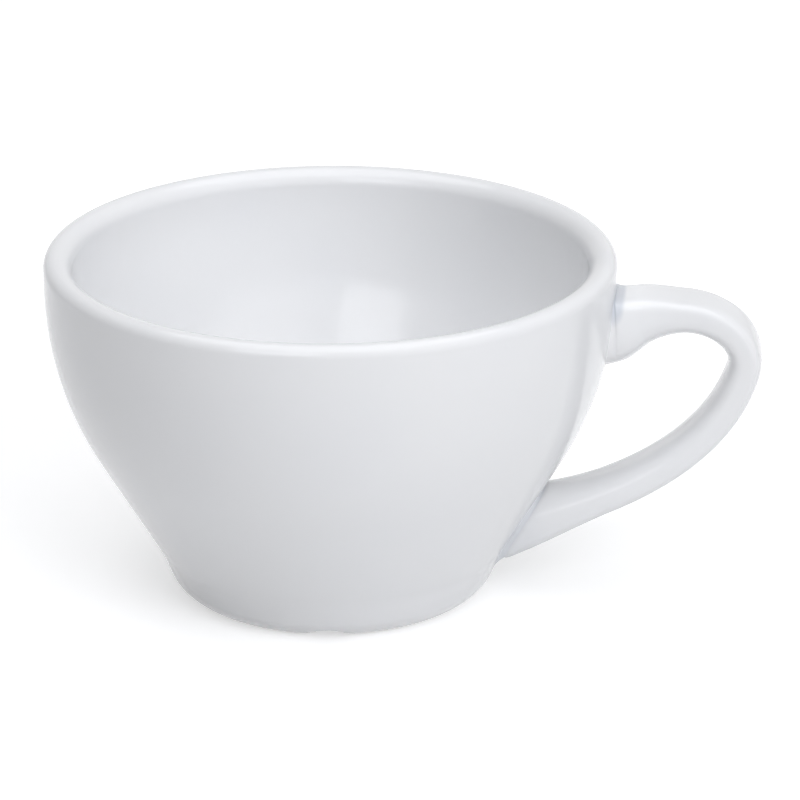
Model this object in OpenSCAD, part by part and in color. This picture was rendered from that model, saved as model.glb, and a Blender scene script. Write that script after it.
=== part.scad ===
// Cappuccino cup of glazed porcelain, in millimetres.
// The body is turned about Z and stands on z = 0. The handle points along +X and is stuck on with slip.

/* [Cup body] */
// Outside diameter of the rim
rim_d = 102; // [90:0.5:116]
// Height from the table to the top of the rim
cup_h = 63.5; // [56:0.5:76]
// Thickness of the wall and of the rounded rim
wall_t = 5; // [3:0.1:6]
// Share of that thickness rounded by the rim's inside edge, the rest being rounded by its outside edge
lip_share = 0.6; // [0.4:0.05:0.65]
// Height of the upright band at the top, rim round included
band_h = 5.5; // [4:0.25:10]
// Drop from the rim to the corner that the round side is drawn in
shoulder_drop = 22; // [16:0.5:28]
// Diameter at the corner between the side and the foot
waist_d = 62.75; // [60:0.25:72]
// Height of the corner between the side and the foot
waist_h = 8; // [7:0.25:11]
// Radius of the hollow round in that corner
waist_r = 18; // [8:1:26]

/* [Foot and floor] */
// Diameter of the foot at the table, before its edge is rounded
foot_d = 56.5; // [52:0.5:60]
// Radius of the foot's lower outside edge
foot_edge_r = 6; // [2:0.25:7]
// Width of the ring that rests on the table
ring_w = 3.5; // [2.5:0.25:6]
// Radius of the ring's inside edge
ring_edge_r = 1; // [0.5:0.1:1.5]
// Lean of the recess's side from upright
recess_a = 25; // [10:1:40]
// Depth of the recess inside the ring
recess_h = 2.5; // [2:0.25:4]
// Radius where the recess's side meets its top
recess_r = 2; // [1:0.25:3]
// Thickness of the floor
floor_t = 5; // [3.5:0.25:7]
// Radius where the inside of the wall meets the floor
floor_r = 20; // [10:1:26]

/* [Drain notches] */
// Width of a notch across the ring
notch_w = 9; // [6:0.5:14]
// Depth of a notch in the ring
notch_h = 2; // [0.5:0.1:2.2]
// Turn from the handle to the first notch, the second lying opposite
notch_turn = 86; // [60:1:120]

/* [Handle loop] */
// Drop from the rim to the middle of the upper root
root_drop = 13; // [12:0.25:16.5]
// Height of the lower root's middle above the table
low_root_h = 11.75; // [10:0.25:16]
// Length of the upper neck, from the wall
neck_out = 5; // [4:0.25:7]
// Rise of the upper neck above the upper root
neck_rise = 2.5; // [1.5:0.25:3.5]
// Length of the lower neck, from the wall
low_neck_out = 17.5; // [12:0.5:22]
// Reach past the rim to the top of the loop
top_reach = 12; // [9:0.5:15]
// Rise of the loop's top above the upper root
top_rise = 3.5; // [1.5:0.25:5.5]
// Reach past the rim to the bow at the back
bow_reach = 22.8; // [19:0.2:30]
// Drop of the bow below the upper root
bow_drop = 7.25; // [5:0.25:11]
// Heading of the spine at the upper root, up from level
root_a = 24; // [17:1:31]
// Heading of the spine at the upper neck
neck_a = 18; // [6:1:26]
// Heading of the spine at the bow, where 90 is straight down
bow_a = 106; // [92:1:116]
// Heading of the spine at the lower neck, where 180 is level towards the cup
low_neck_a = 156; // [144:1:166]
// Heading of the spine at the lower root
low_root_a = 155; // [148:1:164]

/* [Handle section] */
// Thickness at the upper root
root_t = 12.75; // [10.5:0.25:15.5]
// Thickness at the upper neck
neck_t = 9.75; // [8:0.25:11.5]
// Thickness at the top of the loop
top_t = 6.75; // [5:0.25:9]
// Thickness at the bow
bow_t = 6; // [5:0.25:8]
// Thickness at the lower neck
low_neck_t = 6.75; // [5:0.25:8]
// Thickness at the lower root
low_root_t = 9.5; // [8:0.25:11]
// Width at both roots
root_w = 13; // [11:0.25:16]
// Width at both necks
neck_w = 12; // [10:0.25:15]
// Width of the grip
grip_w = 11.5; // [9:0.25:15]
// Squareness of the section, where 2 is an oval
section_n = 2.6; // [2:0.1:3.5]
// Radius of the edge at the handle's two ends
end_r = 0.5; // [0.2:0.1:1]

/* [Slip joints] */
// Thickness of the slip between the wall and the handle
slip_t = 1; // [0.6:0.1:1.5]
// Spread of the slip past the handle, on the wall
slip_flare = 0.5; // [0.3:0.1:1.4]

/* [Hidden] */
// Colours of the thin and of the pooled glaze
GLAZE = "#F1F2F4";
POOLED_GLAZE = "#E3E8EE";
// Facets round a turned face
TURN_FACETS = 88;
// Most that a straight run may leave its arc
ARC_ERROR = 0.03;
// Sine of the turn under which a corner counts as straight
STRAIGHT = 0.001;
// Share of the foot's side that its edge may round
EDGE_SHARE = 0.6;
// Share of the rim's and foot's rounds that slip keeps off
BARE_SHARE = 0.25;
// Points round a handle section, and sections along the loop
SECTION_SIDES = 28;
LOFT_RINGS = 56;
// Sections through a slip pad, and where they start and end in thicknesses of slip
SLIP_RINGS = 5;
SLIP_FROM = -0.5;
SLIP_TO = 1.5;
// Steps that bring a point of a section on to the wall
SEAT_STEPS = 4;

rim_r = rim_d / 2;
lip_round = lip_share * wall_t;
rim_round = wall_t - lip_round;
shoulder_h = cup_h - shoulder_drop;
floor_h = recess_h + floor_t;
waist = [waist_d / 2, waist_h];
foot = [foot_d / 2, 0];
flank_a = atan2(rim_r - waist[0], shoulder_h - waist_h);
foot_a = atan2(waist[0] - foot[0], waist_h);
bowl_r = (shoulder_drop - band_h) / tan(flank_a / 2);
notch_r = (notch_w * notch_w / 4 + notch_h * notch_h) / (2 * notch_h);

function dir(a) = [cos(a), sin(a)];
function unit(v) = v / norm(v);
function flip(list) = [for (i = [len(list) - 1 : -1 : 0]) list[i]];

// Where the line through p at angle a meets the line through q at angle b
function meet(p, a, q, b) = p + dir(a) * cross(q - p, dir(b)) / cross(dir(a), dir(b));

// Arc about a centre, in straight runs that leave it by no more than ARC_ERROR
function arc(centre, r, from, sweep) =
  let (steps = ceil(abs(sweep) / (2 * acos(1 - ARC_ERROR / r))))
  [for (i = [0 : steps]) centre + r * dir(from + sweep * i / steps)];

// Arc of radius r that rounds the corner b between the ways to a and to c
function fillet(a, b, c, r) =
  let (u = unit(a - b), v = unit(c - b), half = acos(u * v) / 2)
  r < ARC_ERROR || abs(cross(u, v)) < STRAIGHT ? [b] :
  let (
    centre = b + unit(u + v) * r / sin(half),
    start = u / tan(half) * r + b - centre,
    sweep = sign(cross(u, v)) * (2 * half - 180)
  )
  arc(centre, r, atan2(start[1], start[0]), sweep);

// Rounds of the foot's edge and of the waist, limited where the side between them is too short for both
edge_round = min(foot_edge_r, EDGE_SHARE * norm(waist - foot) / tan((90 - foot_a) / 2));
waist_round = min(waist_r, (1 - EDGE_SHARE) * norm(waist - foot) / tan(abs(flank_a - foot_a) / 2));

// Corners of the outside, each moved outwards by d
function shoulder_corner(d) = meet([rim_r + d, 0], 90, waist + d * dir(-flank_a), 90 - flank_a);
function waist_corner(d) = meet(waist + d * dir(-flank_a), 90 - flank_a, waist + d * dir(-foot_a), 90 - foot_a);
function foot_corner(d) = meet(waist + d * dir(-foot_a), 90 - foot_a, [0, -d], 0);

// Outside of the cup from the top of the rim down to the table, moved outwards by d
function outside(d) = concat(
  arc([rim_r - rim_round, cup_h - rim_round], rim_round + d, 90, -90),
  fillet([rim_r + d, cup_h], shoulder_corner(d), waist_corner(d), bowl_r + d),
  fillet(shoulder_corner(d), waist_corner(d), foot_corner(d), waist_round - sign(flank_a - foot_a) * d),
  fillet(waist_corner(d), foot_corner(d), [0, -d], edge_round + d)
);

// Part of the outside that slip can lie on, short of the rim's top and of the foot's rest
function side(d) = [for (p = outside(d))
  if (p[1] > BARE_SHARE * edge_round && p[1] < cup_h - BARE_SHARE * rim_round) p];

// Inside of the cup from the middle of the floor up over the rim
floor_corner = meet([0, floor_h], 0, waist - wall_t * dir(-flank_a), 90 - flank_a);
inside = concat(
  [[0, floor_h]],
  fillet([0, floor_h], floor_corner, shoulder_corner(-wall_t), floor_r),
  fillet(floor_corner, shoulder_corner(-wall_t), [rim_r - wall_t, cup_h], bowl_r - wall_t),
  arc([rim_r - rim_round, cup_h - lip_round], lip_round, 180, -90)
);

// Underside from the ring's inside edge to the middle of the recess
ring_out = outside(0)[len(outside(0)) - 1][0];
ring_corner = [ring_out - ring_w, 0];
recess_corner = [ring_corner[0] - recess_h * tan(recess_a), recess_h];
underside = concat(
  fillet([ring_out, 0], ring_corner, recess_corner, ring_edge_r),
  fillet(ring_corner, recess_corner, [0, recess_h], recess_r),
  [[0, recess_h]]
);

// Radius and lean of the outside wall at height z, and how far a point stands off it
WALL = [for (p = outside(0)) [p[1], p[0]]];
function wall_r(z) = lookup(z, WALL);
function wall_lean(z) = atan2(wall_r(z + slip_t / 2) - wall_r(z - slip_t / 2), slip_t);
function stand_off(p) = (p[0] - wall_r(p[1])) * cos(wall_lean(p[1]));

// Spine of the handle: place in the X-Z plane, heading, thickness and width at each station.
// A skew turns the two end sections out of square, so that they lie along the wall.
root_h = cup_h - root_drop;
root = [wall_r(root_h), root_h];
low_root = [wall_r(low_root_h), low_root_h];
neck = root + [neck_out, neck_rise];
low_neck = low_root - low_neck_out * dir(-(low_root_a + low_neck_a) / 2);
PLACE = [
  root,
  neck,
  [rim_r + top_reach, root_h + top_rise],
  [rim_r + bow_reach, root_h - bow_drop],
  low_neck,
  low_root
];
HEADING = [root_a, neck_a, 0, -bow_a, -low_neck_a, -low_root_a];
THICKNESS = [root_t, neck_t, top_t, bow_t, low_neck_t, low_root_t];
WIDTH = [root_w, neck_w, grip_w, grip_w, neck_w, root_w];
SPANS = len(PLACE) - 1;

// Value between stations, smooth through each one and level at the two ends
function slope(v, i) = i == 0 || i == SPANS ? 0 : (v[i + 1] - v[i - 1]) / 2;
function between(v, u) =
  let (i = min(floor(u), SPANS - 1), t = u - i)
  (1 + 2 * t) * pow(1 - t, 2) * v[i] + t * pow(1 - t, 2) * slope(v, i)
  + t * t * (3 - 2 * t) * v[i + 1] - t * t * (1 - t) * slope(v, i + 1);
function ease(x) = let (c = min(max(x, 0), 1)) c * c * (3 - 2 * c);

// Control points of the span that u lies in, each span bending as near to an arc as its headings allow
function span(u) =
  let (
    i = min(floor(u), SPANS - 1),
    arm = norm(PLACE[i + 1] - PLACE[i]) * 2 / 3 / (1 + cos((HEADING[i + 1] - HEADING[i]) / 2))
  )
  [PLACE[i], PLACE[i] + arm * dir(HEADING[i]), PLACE[i + 1] - arm * dir(HEADING[i + 1]), PLACE[i + 1]];
function local(u) = u - min(floor(u), SPANS - 1);
function spine(u) =
  let (c = span(u), t = local(u), s = 1 - t)
  s * s * s * c[0] + 3 * s * s * t * c[1] + 3 * s * t * t * c[2] + t * t * t * c[3];
function heading(u) =
  let (c = span(u), t = local(u), s = 1 - t,
    v = s * s * (c[1] - c[0]) + 2 * s * t * (c[2] - c[1]) + t * t * (c[3] - c[2]))
  atan2(v[1], v[0]);

root_skew = -wall_lean(root_h) - root_a;
low_root_skew = low_root_a - 180 - wall_lean(low_root_h);
function skew(u) = root_skew * ease(1 - u) + low_root_skew * ease(u - SPANS + 1);

// Distance of a point from the flat that touches the wall at the nearer root
function root_of(u) = u < SPANS / 2 ? root : low_root;
function neck_of(u) = u < SPANS / 2 ? neck : low_neck;
function square_to_wall(u) = dir(-wall_lean(root_of(u)[1]));
function off_wall(p, u) = (p - root_of(u)) * square_to_wall(u);

// Point moved square to that flat until it stands off the wall by s
function seat(q, s, u, steps) =
  steps == 0 ? q :
  let (turn = wall_lean(q[1]) - wall_lean(root_of(u)[1]))
  seat(q + (s - stand_off(q)) / cos(turn) * square_to_wall(u), s, u, steps - 1);

// How closely a section follows the wall's curve: fully at the slip, not at all from the neck on
function hug(s, u) = ease((off_wall(neck_of(u), u) - s) / (off_wall(neck_of(u), u) - slip_t - end_r));

// Points of one section, centred on p, with its outline grown by g and wrapped about the cup's axis
function section_point(a) = [for (c = [cos(a), sin(a)]) sign(c) * pow(abs(c), 2 / section_n)];
function section(p, u, g) =
  let (
    tall = dir(heading(u) + 90 + skew(u)) * (between(THICKNESS, u) / 2 / cos(skew(u)) + g),
    wide = between(WIDTH, u) / 2 + g,
    hug = hug(off_wall(p, u), u)
  )
  [for (k = [0 : SECTION_SIDES - 1])
    let (
      c = section_point(360 * k / SECTION_SIDES),
      flat = p + tall * c[0],
      q = flat + (hug == 0 ? [0, 0] : hug * (seat(flat, off_wall(flat, u), u, SEAT_STEPS) - flat)),
      y = wide * c[1]
    )
    [sqrt(q[0] * q[0] - y * y), y, q[1]]];

// Round of the handle's end, as a change of outline at distance s from the wall
function end_round(s) = let (x = min(max((slip_t + end_r - s) / end_r, 0), 1)) -end_r * (1 - sqrt(1 - x * x));

// Solid through a list of sections, closed by a fan of triangles at each end
module loft(rings) {
  last = len(rings) - 1;
  n = SECTION_SIDES;
  middles = [for (r = [rings[0], rings[last]]) (r[0] + r[n / 2]) / 2];
  points = concat([for (r = rings) each r], middles);
  sides = [for (i = [0 : last - 1], k = [0 : n - 1]) each
    let (a = i * n + k, b = i * n + (k + 1) % n) [[a, b, b + n], [a, b + n, a + n]]];
  first_end = [for (k = [0 : n - 1]) [(k + 1) % n, k, len(points) - 2]];
  last_end = [for (k = [0 : n - 1]) [last * n + k, last * n + (k + 1) % n, len(points) - 1]];
  polyhedron(points, concat(sides, first_end, last_end));
}

// Solid of the cup's outside, moved outwards by d and filled
module filled_cup(d) {
  path = outside(d);
  rotate_extrude($fn = TURN_FACETS)
    polygon(concat([[0, path[0][1]]], path, [[0, path[len(path) - 1][1]]]));
}

// Skin of the given thickness on the cup's side
module skin(t) {
  rotate_extrude($fn = TURN_FACETS)
    polygon(concat(side(0), flip(side(t))));
}

// Pad of slip at one root, coved from its spread on the wall to the handle's end
module slip_pad(p, u, way) {
  rise = way / (way * square_to_wall(u));
  depths = [for (i = [0 : SLIP_RINGS]) SLIP_FROM + (SLIP_TO - SLIP_FROM) * i / SLIP_RINGS];
  rings = [for (s = depths)
    section(p + s * slip_t * rise, u, (slip_flare + end_r) * pow(max(1 - s, 0), 2) - end_r)];
  intersection() {
    loft(u == 0 ? rings : flip(rings));
    skin(slip_t);
  }
}

// Bowl with its rim, foot ring, recess and drain notches
module cup_body() {
  color(GLAZE)
    difference() {
      rotate_extrude($fn = TURN_FACETS)
        polygon(concat(outside(0), underside, inside));
      for (turn = [0, 180])
        rotate([0, 0, turn - notch_turn])
          translate([ring_corner[0] - ring_w, 0, notch_h - notch_r])
            rotate([0, 90, 0])
              cylinder(r = notch_r, h = 2 * ring_w + foot_edge_r, $fn = TURN_FACETS);
    }
}

// Loop lofted along the spine, cut to the slip that it stands on
module handle() {
  stops = [for (i = [0 : LOFT_RINGS]) SPANS * (1 - cos(180 * i / LOFT_RINGS)) / 2];
  rings = [for (u = stops) section(spine(u), u, end_round(off_wall(spine(u), u)))];
  first = section(root - wall_t * dir(root_a), 0, -end_r);
  last = section(low_root + wall_t * dir(-low_root_a), SPANS, -end_r);
  color(GLAZE)
    difference() {
      loft(concat([first], rings, [last]));
      filled_cup(slip_t);
    }
}

// Slip under the handle's upper end
module upper_slip_joint() {
  color(POOLED_GLAZE)
    slip_pad(root, 0, dir(root_a));
}

// Slip under the handle's lower end
module lower_slip_joint() {
  color(POOLED_GLAZE)
    slip_pad(low_root, SPANS, -dir(-low_root_a));
}

cup_body();
handle();
upper_slip_joint();
lower_slip_joint();
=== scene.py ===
# %% [markdown]
# A cappuccino cup of white porcelain. The bowl was shaped in a turning mould, the looped handle was cast by
# itself, and the two were stuck together with slip, which is liquid clay, before one coat of clear glaze
# went over everything. This lesson builds the four pieces over a imported model of the cup, gives them a
# glaze and sets up the floor, the lights and the camera.

# %% Load the imported cup
import math

import bmesh
import bpy
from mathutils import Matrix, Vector


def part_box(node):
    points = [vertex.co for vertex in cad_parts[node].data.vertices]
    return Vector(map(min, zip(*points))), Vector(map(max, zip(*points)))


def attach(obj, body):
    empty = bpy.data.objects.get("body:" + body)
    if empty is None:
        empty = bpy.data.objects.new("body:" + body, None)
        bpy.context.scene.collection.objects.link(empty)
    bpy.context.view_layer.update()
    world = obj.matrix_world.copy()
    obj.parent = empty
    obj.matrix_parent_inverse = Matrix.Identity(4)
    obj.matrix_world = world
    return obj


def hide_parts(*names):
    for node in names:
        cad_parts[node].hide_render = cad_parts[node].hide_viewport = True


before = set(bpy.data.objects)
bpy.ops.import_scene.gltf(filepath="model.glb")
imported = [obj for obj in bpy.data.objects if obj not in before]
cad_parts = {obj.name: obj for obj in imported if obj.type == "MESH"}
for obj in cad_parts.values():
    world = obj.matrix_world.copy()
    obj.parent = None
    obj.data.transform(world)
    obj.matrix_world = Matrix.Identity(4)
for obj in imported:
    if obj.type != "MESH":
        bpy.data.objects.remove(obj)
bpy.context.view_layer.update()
print("pieces in the frame:", sorted(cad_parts))

# %% [markdown]
# All sizes below are in millimetres, as a potter's drawing has them, and MM turns them into Blender's
# metres. The rim and the height come from the frame. The other sizes are the drawing's own.

# %% Sizes of the bowl
MM = 0.001
rim_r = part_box("cup_body")[1].x / MM
cup_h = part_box("cup_body")[1].z / MM
wall_t = 5.0
rim_edge_r = 2.0
band_h = 5.5
shoulder_drop = 22.0
waist = Vector((31.375, 8.0))
waist_r = 18.0
foot_r = 28.25
foot_edge_r = 6.0
ring_w = 3.5
ring_edge_r = 1.0
recess_a = math.radians(25)
recess_h = 2.5
recess_r = 2.0
floor_h = 7.5
floor_r = 20.0
print(f"rim {2 * rim_r:.1f} mm across, cup {cup_h:.1f} mm high")

# %% [markdown]
# The bowl is a turned form, so one outline says it all: it runs from the middle of the floor up the inside,
# over the rim, down the outside and in under the foot. A drawing gives such an outline as straight lines
# whose corners are rounded, so two helpers are enough: one finds a corner, the other rounds it. Drawing the
# outline as a Bezier curve by hand would work too, but then a wall would not keep its thickness.


# %% Helpers for outlines
def heading(angle):
    return Vector((math.cos(angle), math.sin(angle)))


def crossing(p, along_p, q, along_q):
    """Where a line through p meets a line through q."""
    return p + along_p * (q - p).cross(along_q) / along_p.cross(along_q)


def rounded(a, b, c, radius, turn=math.radians(3)):
    """Arc that rounds the corner b between the ways to a and to c, with a point at least every turn."""
    u = (a - b).normalized()
    v = (c - b).normalized()
    half = math.acos(u.dot(v)) / 2
    centre = b + (u + v).normalized() * radius / math.sin(half)
    start = b + u * radius / math.tan(half) - centre
    sweep = math.copysign(math.pi - 2 * half, -u.cross(v))
    steps = math.ceil(abs(sweep) / turn)
    first = math.atan2(start.y, start.x)
    return [centre + radius * heading(first + sweep * i / steps) for i in range(steps + 1)]


# %% Outline of the bowl
flank_a = math.atan2(rim_r - waist.x, cup_h - shoulder_drop - waist.y)
foot_a = math.atan2(waist.x - foot_r, waist.y)
bowl_r = (shoulder_drop - band_h) / math.tan(flank_a / 2)
up = heading(math.pi / 2)
flank = heading(math.pi / 2 - flank_a)
foot_side = heading(math.pi / 2 - foot_a)
flank_out = heading(-flank_a)
foot_out = heading(-foot_a)


def outside(off):
    """Outside of the bowl from the band below the rim to the table, moved outwards by off."""
    top = Vector((rim_r + off, cup_h))
    shoulder = crossing(top, up, waist + off * flank_out, flank)
    corner = crossing(waist + off * flank_out, flank, waist + off * foot_out, foot_side)
    toe = crossing(waist + off * foot_out, foot_side, Vector((0, -off)), heading(0))
    side = rounded(top, shoulder, corner, bowl_r + off)
    hollow = rounded(shoulder, corner, toe, waist_r - off)
    return side + hollow + rounded(corner, toe, Vector((0, -off)), foot_edge_r + off)


inner_top = Vector((rim_r - wall_t, cup_h))
floor_middle = Vector((0, floor_h))
inner_flank = waist - wall_t * flank_out
floor_corner = crossing(floor_middle, heading(0), inner_flank, flank)
inner_shoulder = crossing(inner_top, up, inner_flank, flank)
inside = [floor_middle] + rounded(floor_middle, floor_corner, inner_shoulder, floor_r)
inside += rounded(floor_corner, inner_shoulder, inner_top, bowl_r - wall_t)
rim_top = Vector((rim_r - rim_edge_r, cup_h))
rim = rounded(Vector((rim_r - wall_t, 0)), Vector((rim_r - wall_t, cup_h)), rim_top, wall_t - rim_edge_r)
rim += rounded(rim_top, Vector((rim_r, cup_h)), Vector((rim_r, 0)), rim_edge_r)[1:]
ring_out = outside(0)[-1].x
ring_corner = Vector((ring_out - ring_w, 0))
recess_corner = Vector((ring_corner.x - recess_h * math.tan(recess_a), recess_h))
recess_middle = Vector((0, recess_h))
under = rounded(outside(0)[-1], ring_corner, recess_corner, ring_edge_r, math.radians(12))
under += rounded(ring_corner, recess_corner, recess_middle, recess_r, math.radians(12)) + [recess_middle]
outline = inside + rim + outside(0) + under
print(f"outline of the bowl: {len(outline)} points, resting ring {2 * ring_out:.1f} mm across")

# %% [markdown]
# A mesh is made from rings of points, each joined to the next with four-sided faces. Blender's Screw
# modifier could turn the bowl as well, but the handle is no turned form, and the same helper serves both. A
# ring of one point closes an end.


# %% Helper that joins rings of points
def skin(name, rings):
    """Mesh object through rings of points in millimetres, shaded smooth."""
    made = bmesh.new()
    rows = [[made.verts.new(Vector(p) * MM) for p in ring] for ring in rings]
    for a, b in zip(rows, rows[1:]):
        for k in range(max(len(a), len(b))):
            corners = [a[k % len(a)], a[(k + 1) % len(a)], b[(k + 1) % len(b)], b[k % len(b)]]
            made.faces.new(list(dict.fromkeys(corners))).smooth = True
    bmesh.ops.recalc_face_normals(made, faces=made.faces)
    mesh = bpy.data.meshes.new(name)
    made.to_mesh(mesh)
    made.free()
    piece = bpy.data.objects.new(name, mesh)
    bpy.context.scene.collection.objects.link(piece)
    print(f"{name}: {len(mesh.vertices)} points, {len(mesh.polygons)} faces")
    return piece


# %% [markdown]
# The foot ring has two shallow notches that let water run out of the recess when the cup stands upside down
# to dry. A boolean cut would leave sharp edges, and glaze never does. So the ring's points are lifted
# instead, to the round roof of the notch, and a blend between the two heights softens the edge.

# %% Bowl with its drain notches
notch_w = 9.0
notch_h = 2.0
notch_turn = math.radians(-86)
notch_soft = 0.6
turn_steps = 288


def ease(x):
    """Goes from 0 to 1 without a corner."""
    x = min(max(x, 0.0), 1.0)
    return x * x * (3 - 2 * x)


def notched(r, z, angle):
    """Height of a foot's point once the notches are in."""
    across = r * math.sin(angle - notch_turn)
    roof = notch_h * (1 - (2 * across / notch_w) ** 2)
    return max(z, roof) + max(notch_soft - abs(z - roof), 0) ** 2 / (4 * notch_soft)


def turned(p):
    """Ring that an outline's point makes about the cup's axis."""
    if p.x == 0:
        return [(0, 0, p.y)]
    ring = []
    for k in range(turn_steps):
        angle = 2 * math.pi * k / turn_steps
        z = notched(p.x, p.y, angle) if p.x > recess_corner.x else p.y
        ring.append((p.x * math.cos(angle), p.x * math.sin(angle), z))
    return ring


bowl = skin("bowl", [turned(p) for p in outline])

# %% [markdown]
# The handle is a loop whose section changes all the way: a tall foot on the wall, a thin grip, and a long
# low foot that lies along the lower wall. Its outer face is flat with tight edges, and its inner side,
# where the finger goes, is round. It is lofted: a spine gives the place and heading of each section, and
# the section's thickness and width change smoothly from station to station. A Bezier curve with a bevel and
# a taper could not change the two sizes apart from each other, or lay its ends along the wall.

# %% Stations of the handle
root_z = cup_h - 13.0
low_root_z = 11.75
neck_out = 5.0
neck_rise = 2.5
low_neck_out = 17.5
top_reach = 12.0
top_rise = 3.5
bow_reach = 22.8
bow_drop = 7.25
slip_t = 1.0
slip_flare = 0.25
side_groove = 0.2
edge_groove = 0.3
low_edge_groove = 0.9
end_r = 1.0
edge_r = 2.4
low_edge_r = 1.6
chin = 0.9
chin_out = 2.2
outer_squareness = 5.0
inner_squareness = 2.4
headings = [math.radians(a) for a in (24, 18, 0, -106, -156, -155)]
outer_half = [5.9, 4.4, 2.9, 3.0, 2.95, 4.3]
inner_half = [6.45, 4.95, 3.45, 3.0, 3.45, 4.85]
width = [13.0, 12.0, 11.5, 11.5, 12.0, 13.0]
spans = len(headings) - 1
wall = outside(0)


def wall_radius(z):
    """Outside radius of the bowl at height z."""
    for a, b in zip(wall, wall[1:]):
        if a.y >= z >= b.y:
            return a.x + (b.x - a.x) * (a.y - z) / (a.y - b.y)
    return rim_r if z > wall[0].y else wall[-1].x


def wall_lean(z):
    return math.atan2(wall_radius(z + slip_t / 2) - wall_radius(z - slip_t / 2), slip_t)


root = Vector((wall_radius(root_z), root_z))
low_root = Vector((wall_radius(low_root_z), low_root_z))
neck = root + Vector((neck_out, neck_rise))
low_neck = low_root - low_neck_out * heading((headings[-1] + headings[-2]) / 2)
loop_top = Vector((rim_r + top_reach, root_z + top_rise))
loop_bow = Vector((rim_r + bow_reach, root_z - bow_drop))
places = [root, neck, loop_top, loop_bow, low_neck, low_root]
print("spine of the handle:", [tuple(round(c, 1) for c in p) for p in places])


# %% Spine and section of the handle
def spine(u):
    """Place and heading on the spine; u counts stations."""
    i = min(int(u), spans - 1)
    t = u - i
    bend = (headings[i + 1] - headings[i]) / 2
    arm = (places[i + 1] - places[i]).length * 2 / 3 / (1 + math.cos(bend))
    a = places[i]
    b = a + arm * heading(headings[i])
    d = places[i + 1]
    c = d - arm * heading(headings[i + 1])
    place = (1 - t) ** 3 * a + 3 * (1 - t) ** 2 * t * b + 3 * (1 - t) * t * t * c + t ** 3 * d
    way = (1 - t) ** 2 * (b - a) + 2 * (1 - t) * t * (c - b) + t * t * (d - c)
    return place, math.atan2(way.y, way.x)


def between(values, u):
    """Value at u, smooth through every station and level at both ends."""
    i = min(int(u), spans - 1)
    t = u - i
    before = (values[i + 1] - values[i - 1]) / 2 if i > 0 else 0
    after = (values[i + 2] - values[i]) / 2 if i < spans - 1 else 0
    start = (1 + 2 * t) * (1 - t) ** 2 * values[i] + t * (1 - t) ** 2 * before
    return start + t * t * (3 - 2 * t) * values[i + 1] - t * t * (1 - t) * after


root_skew = -wall_lean(root_z) - headings[0]
low_root_skew = -math.pi - headings[-1] - wall_lean(low_root_z)
section_sides = 56


def off_wall(p, u):
    """Distance of a point from the flat that touches the wall at the nearer root."""
    home = root if u < spans / 2 else low_root
    return (p - home).dot(heading(-wall_lean(home.y)))


def seated(q, distance, home):
    """Point moved square to the wall at a root until it stands off the wall by the distance."""
    square = heading(-wall_lean(home.y))
    for step in range(4):
        lean = wall_lean(q.y)
        stand_off = (q.x - wall_radius(q.y)) * math.cos(lean)
        q = q + (distance - stand_off) / math.cos(lean - wall_lean(home.y)) * square
    return q


def section(p, u, sides, over, under):
    """Ring of the handle at u, centred on p, grown at its two sides, on its outer edge and on its inner edge.
    The nearer it is to a root, the more it hugs the wall's curve."""
    home = root if u < spans / 2 else low_root
    reach = off_wall(neck if u < spans / 2 else low_neck, u)
    hug = ease((reach - off_wall(p, u)) / (reach - slip_t - end_r))
    skew = root_skew * ease(1 - u) + low_root_skew * ease(u - spans + 1)
    tall = heading(spine(u)[1] + math.pi / 2 + skew)
    outer = between(outer_half, u) / math.cos(skew) + over
    inner = between(inner_half, u) / math.cos(skew) + under
    wide = between(width, u) / 2 + sides
    ring = []
    for k in range(section_sides):
        c, s = heading(2 * math.pi * k / section_sides)
        power = 2 / (outer_squareness if c > 0 else inner_squareness)
        q = p + (outer * c ** power if c > 0 else -inner * (-c) ** power) * tall
        y = wide * math.copysign(abs(s) ** power, s)
        q = q + hug * (seated(q, off_wall(q, u), home) - q)
        ring.append((math.sqrt(q.x * q.x - y * y), y, q.y))
    return ring


def middle(ring):
    return [tuple(sum(p[i] for p in ring) / len(ring) for i in range(3))]


# %% Handle
loft_rings = 160


def chin_round(distance):
    """Change of the upper root's underside, which ends in a soft chin."""
    return -chin * ease(1 - distance / chin_out)


def end_round(distance, radius):
    """Share of a groove's depth that a rounded end has reached at a distance from the wall."""
    x = min(max((slip_t + radius - distance) / radius, 0.0), 1.0)
    return 1 - math.sqrt(1 - x * x)


def handle_ring(u):
    """Ring of the handle at u, with its ends rounded over the slip."""
    place = spine(u)[0]
    distance = off_wall(place, u)
    sides = -side_groove * end_round(distance, end_r)
    if u < spans / 2:
        return section(place, u, sides, -edge_groove * end_round(distance, edge_r), chin_round(distance))
    return section(place, u, sides, -low_edge_groove * end_round(distance, low_edge_r), sides)


rings = [handle_ring(spans * (1 - math.cos(math.pi * i / loft_rings)) / 2) for i in range(loft_rings + 1)]
loop = skin("handle_loop", [middle(rings[0])] + rings + [middle(rings[-1])])

# %% [markdown]
# Each end of the handle stands on a layer of slip that was pressed out a little and wiped round with a wet
# brush. That leaves a small hollow moulding on the wall. It is made from the handle's own sections: wide on
# the wall, and drawn in to a faint groove under the handle's rounded end.


# %% Slip joints
pad_steps = 10
steps_in_wall = 3
steps_in_handle = 4
pad_slope = 0.1
chin_slope = 0.05


def station_at(distance, end):
    """Station at which the spine, followed from one end, stands off the wall by the distance."""
    near, far = end, abs(end - 1)
    for step in range(30):
        half = (near + far) / 2
        if off_wall(spine(half)[0], half) < distance:
            near = half
        else:
            far = half
    return half


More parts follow.
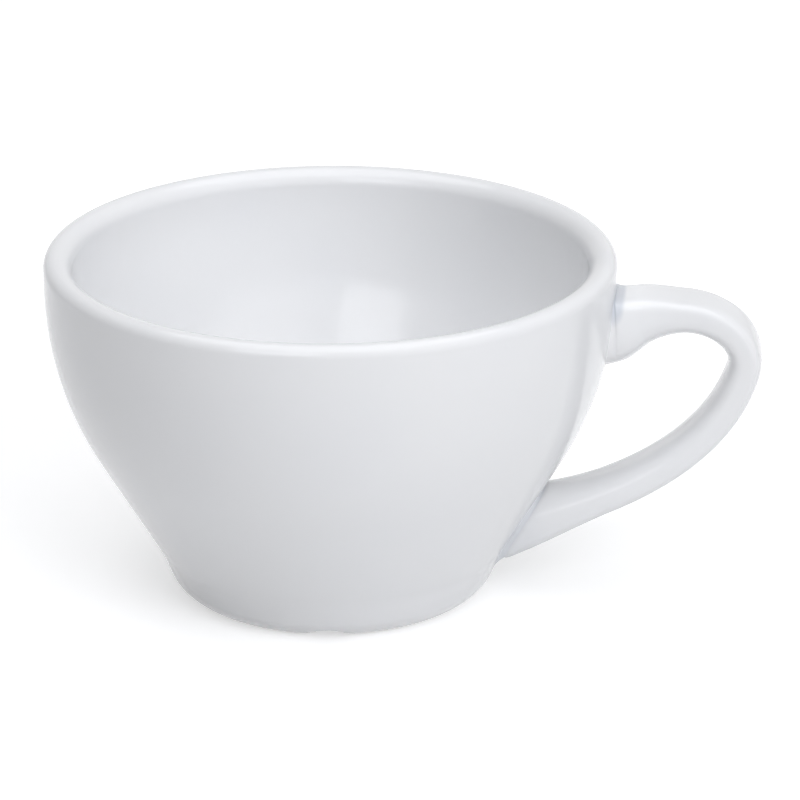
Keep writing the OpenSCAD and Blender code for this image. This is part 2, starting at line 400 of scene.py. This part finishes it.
def slip_pad(name, home, end):
    """Pad of slip at one end, which starts just inside the wall and ends just inside the handle."""
    pads = []
    for i in range(-steps_in_wall, pad_steps + steps_in_handle + 1):
        d = i / pad_steps
        u = station_at(max(d, 0) * slip_t, end)
        place = spine(u)[0] + min(d, 0) * slip_t * heading(-wall_lean(home.y))
        cove = max(1 - d, 0) ** 3
        sunk = max(d - 1, 0) * pad_slope
        sides = (slip_flare + side_groove) * cove - side_groove - sunk
        groove = edge_groove if end == 0 else low_edge_groove
        over = groove * (cove - 1) - sunk
        under = chin_round(d * slip_t) + (1 - d) * chin_slope if end == 0 else sides
        pads.append(section(place, u, sides, over, under))
    return skin(name, [middle(pads[0])] + pads + [middle(pads[-1])])


upper_slip = slip_pad("upper_slip", root, 0)
lower_slip = slip_pad("lower_slip", low_root, spans)

# %% [markdown]
# Materials are networks of shader nodes. One small helper adds a node, sets it and links it, so that each
# material reads as a list of what its surface does. Colours are written as the sRGB hex values that an eye
# would pick, and Blender wants them linear.


# %% Helpers for materials
def linear(hex_colour):
    """sRGB hex to the linear colour that shaders use."""
    parts = [int(hex_colour[i:i + 2], 16) / 255 for i in (1, 3, 5)]
    return [c / 12.92 if c <= 0.04045 else ((c + 0.055) / 1.055) ** 2.4 for c in parts] + [1.0]


def add_node(tree, kind, settings, links=None):
    """Adds a shader node; settings are its properties or sockets, links are sockets fed by other nodes."""
    made = tree.nodes.new(kind)
    for name, value in settings.items():
        if isinstance(name, str) and hasattr(made, name):
            setattr(made, name, value)
        else:
            made.inputs[name].default_value = value
    for name, source in (links or {}).items():
        tree.links.new(source, made.inputs[name])
    return made


def new_material(name):
    material = bpy.data.materials.new(name)
    material.use_nodes = True
    material.node_tree.nodes.clear()
    return material, material.node_tree


# %% [markdown]
# Porcelain is a white clay fired until it turns to glass all through, under a clear glaze. The glaze gives
# a sharp gloss over a soft white, with an index of refraction near 1.52. It is never quite flat: it flowed
# while it was hot, so reflections waver over 8 mm or so, and it is a touch thicker in some places than in
# others, which shows as the faintest change of tone. It also ran down the wall, and pooled on the ledge
# that the upper joint makes and round the lower joint. There it looks a little blue, and the colour there
# is also painted darker, as painted shade in the creases where the handle meets the wall.

# %% Glazed porcelain
GLAZE_WHITE = linear("#F5F5F5")
GLAZE_THICK = linear("#F0F1F3")
# Bluish tint of pooled glaze, painted darker than the glaze alone, as painted shade for the creases at the
# joints.
POOLED_GLAZE_AND_SHADE = linear("#D6DAE1")
wave_mm = 8.0
tone_mm = 30.0


def glazed_porcelain(name, pools_and_shade):
    """Clear glaze on white porcelain. A pool is a lens on the wall: its middle, its half sizes off the wall,
    across it and up it, and how far its colour goes towards the pooled colour, which is a bluish pooled-glaze
    tint together with painted shade for the creases at the joints."""
    material, tree = new_material(name)
    place = add_node(tree, "ShaderNodeTexCoord", {})
    tone = add_node(tree, "ShaderNodeTexNoise", {"Scale": 1 / (tone_mm * MM), "Detail": 2.0},
                    {"Vector": place.outputs["Object"]})
    white = add_node(tree, "ShaderNodeMix", {"data_type": "RGBA", 6: GLAZE_WHITE, 7: GLAZE_THICK},
                     {0: tone.outputs["Fac"]})
    colour = white.outputs[2]
    for spot, half_sizes, depth in pools_and_shade:
        on_wall = add_node(tree, "ShaderNodeMapping", {"vector_type": "TEXTURE",
                           "Location": Vector((spot.x, 0, spot.y)) * MM,
                           "Rotation": (0, wall_lean(spot.y), 0),
                           "Scale": Vector(half_sizes) * MM}, {"Vector": place.outputs["Object"]})
        away = add_node(tree, "ShaderNodeVectorMath", {"operation": "LENGTH"}, {0: on_wall.outputs["Vector"]})
        # Painted shade and pooled-glaze tint, full in the middle half of the spot and fading to none at its
        # edge.
        pooled = add_node(tree, "ShaderNodeMapRange", {"interpolation_type": "SMOOTHSTEP", "From Min": 1.0,
                          "From Max": 0.5, "To Max": depth}, {"Value": away.outputs["Value"]})
        mixed = add_node(tree, "ShaderNodeMix", {"data_type": "RGBA", 7: POOLED_GLAZE_AND_SHADE},
                         {0: pooled.outputs["Result"], 6: colour})
        colour = mixed.outputs[2]
    flow = add_node(tree, "ShaderNodeTexNoise", {"Scale": 1 / (wave_mm * MM), "Detail": 1.0},
                    {"Vector": place.outputs["Object"]})
    gloss = add_node(tree, "ShaderNodeMapRange", {"To Min": 0.1, "To Max": 0.16},
                     {"Value": flow.outputs["Fac"]})
    waves = add_node(tree, "ShaderNodeBump", {"Strength": 0.12, "Distance": 0.05 * MM},
                     {"Height": flow.outputs["Fac"]})
    shader = add_node(tree, "ShaderNodeBsdfPrincipled", {"IOR": 1.52},
                      {"Base Color": colour, "Roughness": gloss.outputs["Result"],
                       "Normal": waves.outputs["Normal"]})
    add_node(tree, "ShaderNodeOutputMaterial", {}, {"Surface": shader.outputs["BSDF"]})
    return material


# Spots drawn towards the pooled colour: a bluish pool of glaze plus painted shade at both joints. On the
# handle's top at the upper joint, and over the slip pads, it is mostly painted shade.
ledge = root + outer_half[0] * heading(math.pi / 2 - wall_lean(root_z))
wash = (10, 10, 10)
crease = (1.8, 14, 4.5)
whole_ledge = (20, 14, 5)
whole_joint = (20, 20, 20)
bowl_glaze = glazed_porcelain("glazed porcelain, bowl", [(ledge, wash, 0.2), (low_root, wash, 0.2)])
loop_glaze = glazed_porcelain("glazed porcelain, handle", [(ledge, crease, 0.9), (low_root, wash, 0.2)])
joint_glaze_and_shade = glazed_porcelain("glazed porcelain, pooled at the joints",
                              [(ledge, whole_ledge, 0.9), (low_root, whole_joint, 0.6)])
print("glazes:", bowl_glaze.name, loop_glaze.name, joint_glaze_and_shade.name)

# %% [markdown]
# The ring that the cup stands on is wiped clean before firing, or the glaze would stick to the kiln shelf.
# What is left is bare bisque: a dry, slightly warm white with a fine grit.

# %% Bare foot ring
BISQUE = linear("#E6E1D8")
BISQUE_DARK = linear("#D3CCC0")
grit_mm = 0.4


def bare_bisque():
    material, tree = new_material("bare bisque")
    place = add_node(tree, "ShaderNodeTexCoord", {})
    grit = add_node(tree, "ShaderNodeTexNoise", {"Scale": 1 / (grit_mm * MM), "Detail": 4.0},
                    {"Vector": place.outputs["Object"]})
    colour = add_node(tree, "ShaderNodeMix", {"data_type": "RGBA", 6: BISQUE, 7: BISQUE_DARK},
                      {0: grit.outputs["Fac"]})
    grain = add_node(tree, "ShaderNodeBump", {"Strength": 0.4, "Distance": 0.05 * MM},
                     {"Height": grit.outputs["Fac"]})
    shader = add_node(tree, "ShaderNodeBsdfPrincipled", {"IOR": 1.5, "Roughness": 0.8},
                      {"Base Color": colour.outputs[2], "Normal": grain.outputs["Normal"]})
    add_node(tree, "ShaderNodeOutputMaterial", {}, {"Surface": shader.outputs["BSDF"]})
    return material


bare_h = 0.2
bowl.data.materials.append(bowl_glaze)
bowl.data.materials.append(bare_bisque())
bare = [f for f in bowl.data.polygons if f.center.z < bare_h * MM]
for face in bare:
    face.material_index = 1
loop.data.materials.append(loop_glaze)
upper_slip.data.materials.append(joint_glaze_and_shade)
lower_slip.data.materials.append(joint_glaze_and_shade)
print(f"bare faces on the foot ring: {len(bare)}")

# %% [markdown]
# Every piece is tied to the imported cup: it rides on the one body that the cup has and stands for its own
# imported piece, which is hidden.

# %% Tie the pieces to the frame
ties = [(bowl, "cup_body", "white_glaze"), (loop, "handle", "white_glaze"),
        (upper_slip, "upper_slip_joint", "pooled_glaze"), (lower_slip, "lower_slip_joint", "pooled_glaze")]
for piece, node, finish in ties:
    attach(piece, "root")
    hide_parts(node)
print("tied:", [piece.name for piece, node, finish in ties])

# %% [markdown]
# The cup stands on a light table: white paper over a faint glow from below. The glow is only there for what
# is seen, by the eye or in a reflection, so it whitens the paper and softens the shadow, but it does not
# light the cup.


# %% Floor
def seen_rays(tree):
    """Socket that is 1 for rays from the camera and for reflected and refracted ones."""
    ray = add_node(tree, "ShaderNodeLightPath", {})
    direct = add_node(tree, "ShaderNodeMath", {"operation": "MAXIMUM"},
                      {0: ray.outputs["Is Camera Ray"], 1: ray.outputs["Is Glossy Ray"]})
    either = add_node(tree, "ShaderNodeMath", {"operation": "MAXIMUM"},
                      {0: direct.outputs["Value"], 1: ray.outputs["Is Transmission Ray"]})
    return either.outputs["Value"]


WHITE = linear("#FFFFFF")
PAPER = linear("#E7E7E7")


def light_table():
    """Matt white paper with a glow that only seen rays meet."""
    material, tree = new_material("white paper on a light table")
    glow = add_node(tree, "ShaderNodeMath", {"operation": "MULTIPLY", 1: 0.5}, {0: seen_rays(tree)})
    shader = add_node(tree, "ShaderNodeBsdfPrincipled", {"Base Color": PAPER, "Roughness": 1.0,
                      "Specular IOR Level": 0.0, "Emission Color": WHITE},
                      {"Emission Strength": glow.outputs["Value"]})
    add_node(tree, "ShaderNodeOutputMaterial", {}, {"Surface": shader.outputs["BSDF"]})
    return material


floor_half = 3000.0
corners = [(-floor_half, -floor_half, 0), (floor_half, -floor_half, 0), (floor_half, floor_half, 0),
           (-floor_half, floor_half, 0)]
floor_mesh = bpy.data.meshes.new("floor")
floor_mesh.from_pydata([Vector(c) * MM for c in corners], [], [(0, 1, 2, 3)])
floor = bpy.data.objects.new("floor", floor_mesh)
floor.data.materials.append(light_table())
bpy.context.scene.collection.objects.link(floor)
print("floor:", floor.data.materials[0].name)

# %% [markdown]
# The room is white to the eye and in reflections, and gives only a dim fill. The light itself comes from a
# wide disc overhead, a strong softbox in front on the right, a weak one in front on the left and a small
# one high on the left, which reaches into the cup. The strong softbox would make a bright patch inside the
# cup, so reflections do not see it, nor the small one.

# %% Light
world = bpy.data.worlds.new("white room")
world.use_nodes = True
world.node_tree.nodes.clear()
level = add_node(world.node_tree, "ShaderNodeMapRange", {"To Min": 0.02, "To Max": 1.0},
                 {"Value": seen_rays(world.node_tree)})
room = add_node(world.node_tree, "ShaderNodeBackground", {"Color": WHITE},
                {"Strength": level.outputs["Result"]})
add_node(world.node_tree, "ShaderNodeOutputWorld", {}, {"Surface": room.outputs["Background"]})
bpy.context.scene.world = world
LAMP_WHITE = linear("#FBFCFF")[:3]


def soft_light(name, shape, place, side, watts, mirrored):
    """Area lamp, in metres, aimed at the middle of the cup. Reflections see it only where it is mirrored."""
    lamp = bpy.data.lights.new(name, "AREA")
    lamp.shape = shape
    lamp.size = side
    lamp.energy = watts
    lamp.color = LAMP_WHITE
    made = bpy.data.objects.new(name, lamp)
    made.location = place
    made.visible_glossy = mirrored
    made.rotation_euler = (Vector((0, 0, cup_h / 2 * MM)) - Vector(place)).to_track_quat("-Z", "Y").to_euler()
    bpy.context.scene.collection.objects.link(made)
    print(f"{name}: {watts} W, {side} m")


soft_light("disc overhead", "DISK", (0, 0, 1.6), 2.2, 16.8, True)
soft_light("small softbox above on the left", "SQUARE", (-0.55, 0.1, 1.5), 0.6, 2, False)
soft_light("softbox in front on the left", "SQUARE", (-0.4, -1.4, 0.9), 0.9, 4.6, True)
soft_light("softbox in front on the right", "SQUARE", (1.2, -1.1, 0.9), 1.4, 18, False)
bpy.context.scene.view_settings.view_transform = "Standard"

# %% [markdown]
# The camera stands a little above the cup and looks down on it through a long lens, turned so that the
# handle comes slightly forward.

# %% Camera
camera_azimuth = math.radians(5)
camera_elevation = math.radians(21.05)
camera_distance = 700.0
aim = Vector((12.33, 1.08, 34.82))
back = Vector((math.sin(camera_azimuth) * math.cos(camera_elevation),
               -math.cos(camera_azimuth) * math.cos(camera_elevation), math.sin(camera_elevation)))
lens = bpy.data.cameras.new("camera")
lens.sensor_width = 36.0
lens.lens = 174.4
lens.clip_start = 0.01
camera = bpy.data.objects.new("camera", lens)
camera.location = (aim + camera_distance * back) * MM
camera.rotation_euler = (-back).to_track_quat("-Z", "Y").to_euler()
bpy.context.scene.collection.objects.link(camera)
bpy.context.scene.camera = camera
print("camera at", [round(c, 3) for c in camera.location])
